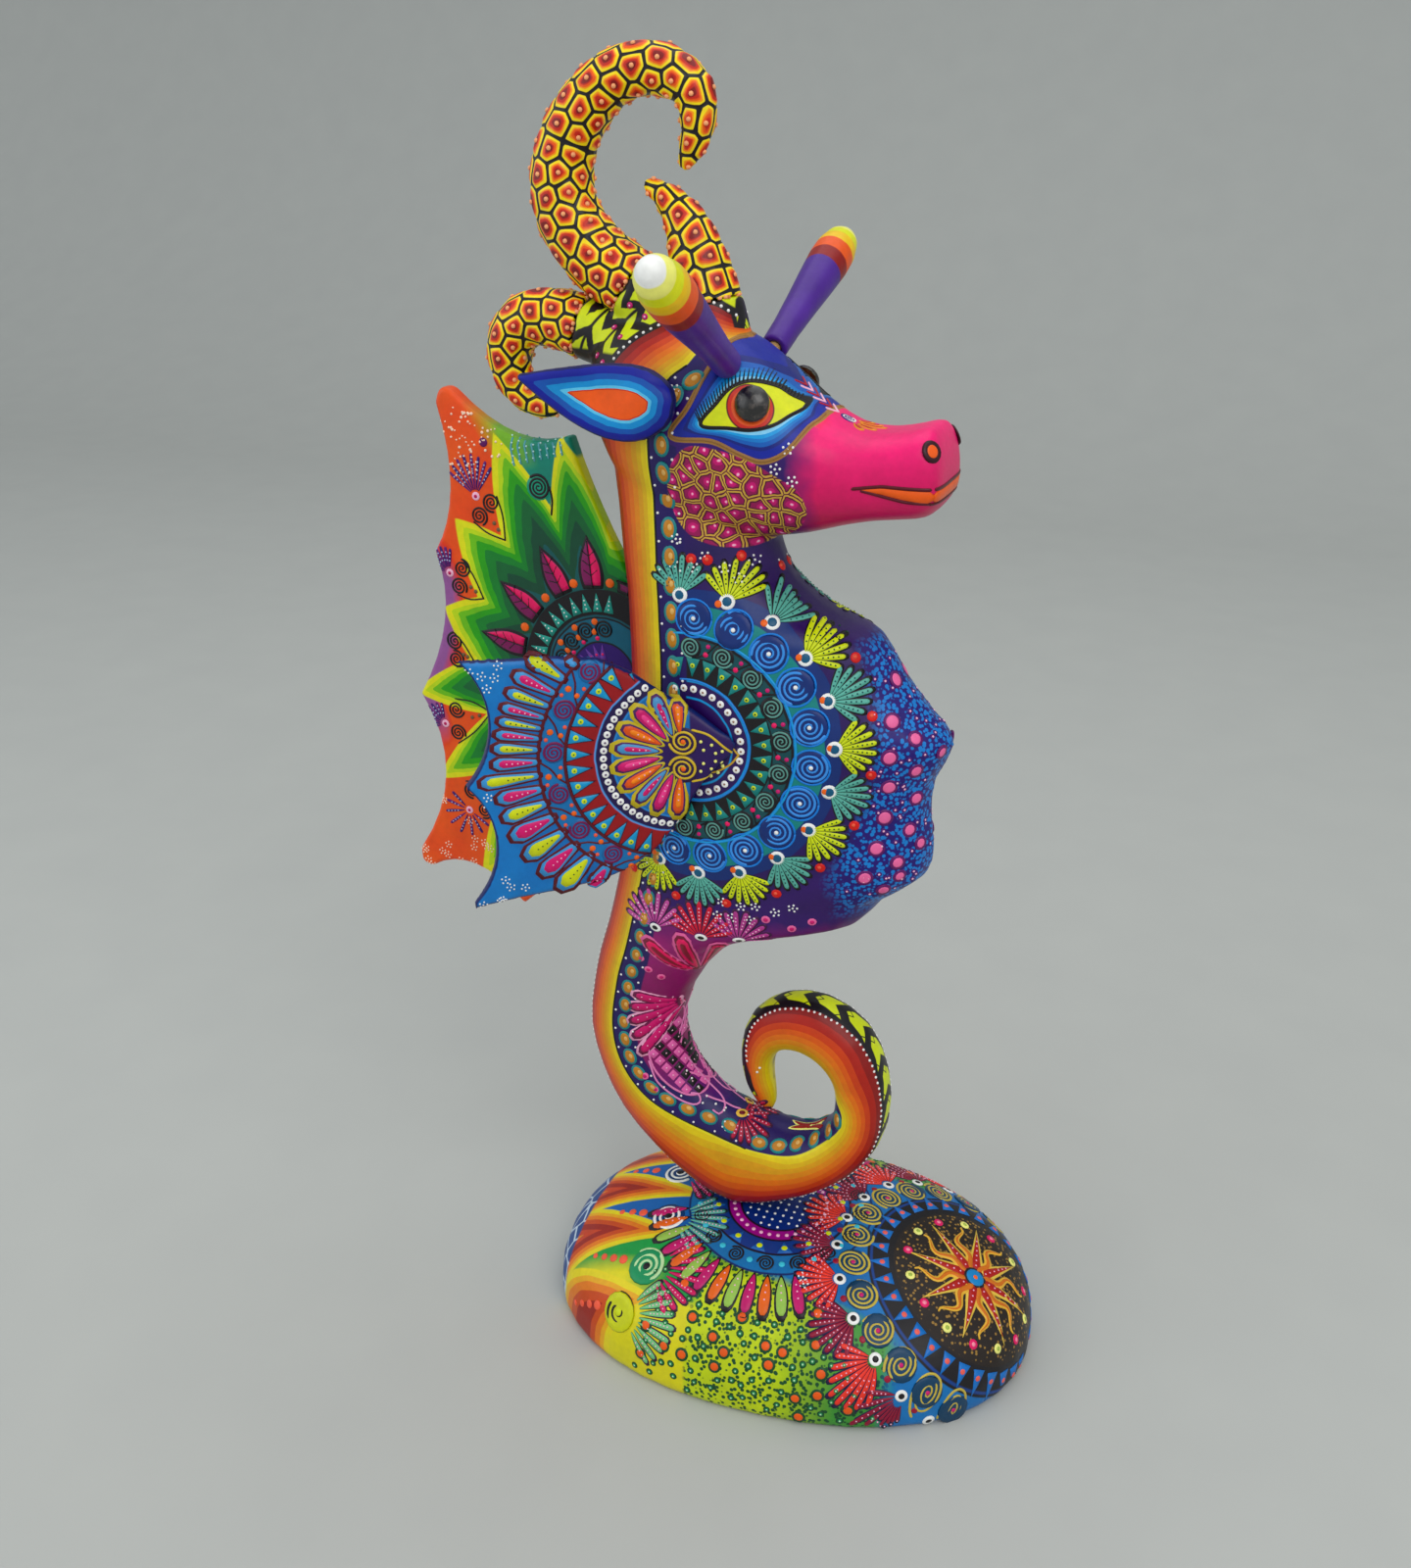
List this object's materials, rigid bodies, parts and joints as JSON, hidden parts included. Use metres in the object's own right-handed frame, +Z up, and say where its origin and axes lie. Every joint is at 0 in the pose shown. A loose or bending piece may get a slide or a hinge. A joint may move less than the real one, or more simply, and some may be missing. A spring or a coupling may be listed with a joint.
{
  "type": "carved wooden seahorse figure",
  "caption": "Carved and painted wooden seahorse figure with horned head, curled antlers, fins and coiled tail, standing on a rounded mound.",
  "frame": {"origin": "centre of the mound's flat underside", "axes": "+X the way the head faces, +Y the figure's left, +Z up"},
  "size_m": [0.2982, 0.203, 0.5362],
  "materials": {
    "painted_mound": "gloss-varnished acrylic paint on wood",
    "painted_body": "satin acrylic paint on wood",
    "glossy_black": "thick glossy black paint over a domed bead",
    "painted_horn": "satin acrylic paint on wood",
    "painted_ear": "satin acrylic paint on wood",
    "painted_side_fin": "satin acrylic paint on wood",
    "painted_dorsal_fin": "satin acrylic paint on wood",
    "painted_antler": "satin acrylic paint on wood",
    "bare_peg": "bare turned wood"
  },
  "bodies": {
    "figure": {"base": "painted_mound", "body": "painted_body", "eye_right": "glossy_black", "eye_left": "glossy_black", "side_fin_right": "painted_side_fin", "side_fin_left": "painted_side_fin", "dorsal_fin": "painted_dorsal_fin", "antler_tall": "painted_antler", "antler_front": "painted_antler", "antler_back": "painted_antler", "tail_dowel": "bare_peg", "antler_peg_tall": "bare_peg", "antler_peg_front": "bare_peg", "antler_peg_back": "bare_peg", "dorsal_fin_peg_upper": "bare_peg", "dorsal_fin_peg_lower": "bare_peg", "side_fin_peg_right_upper": "bare_peg", "side_fin_peg_right_lower": "bare_peg", "side_fin_peg_left_upper": "bare_peg", "side_fin_peg_left_lower": "bare_peg"},
    "ear_right": {"ear_right": "painted_ear", "ear_peg_right": "bare_peg"},
    "ear_left": {"ear_left": "painted_ear", "ear_peg_left": "bare_peg"},
    "horn_right": {"horn_right": "painted_horn", "horn_peg_right": "bare_peg"},
    "horn_left": {"horn_left": "painted_horn", "horn_peg_left": "bare_peg"}
  },
  "joints": [
    {"name": "ear_right_pull", "type": "slide", "parent": "figure", "child": "ear_right", "axis": [-0.1483, -0.9889, 0], "range_m": [0, 0.03]},
    {"name": "ear_left_pull", "type": "slide", "parent": "figure", "child": "ear_left", "axis": [-0.1483, 0.9889, 0], "range_m": [0, 0.03]},
    {"name": "horn_right_pull", "type": "slide", "parent": "figure", "child": "horn_right", "axis": [0.0464, -0.8992, 0.4351], "range_m": [0, 0.035]},
    {"name": "horn_left_pull", "type": "slide", "parent": "figure", "child": "horn_left", "axis": [0.0464, 0.8992, 0.4351], "range_m": [0, 0.035]}
  ]
}
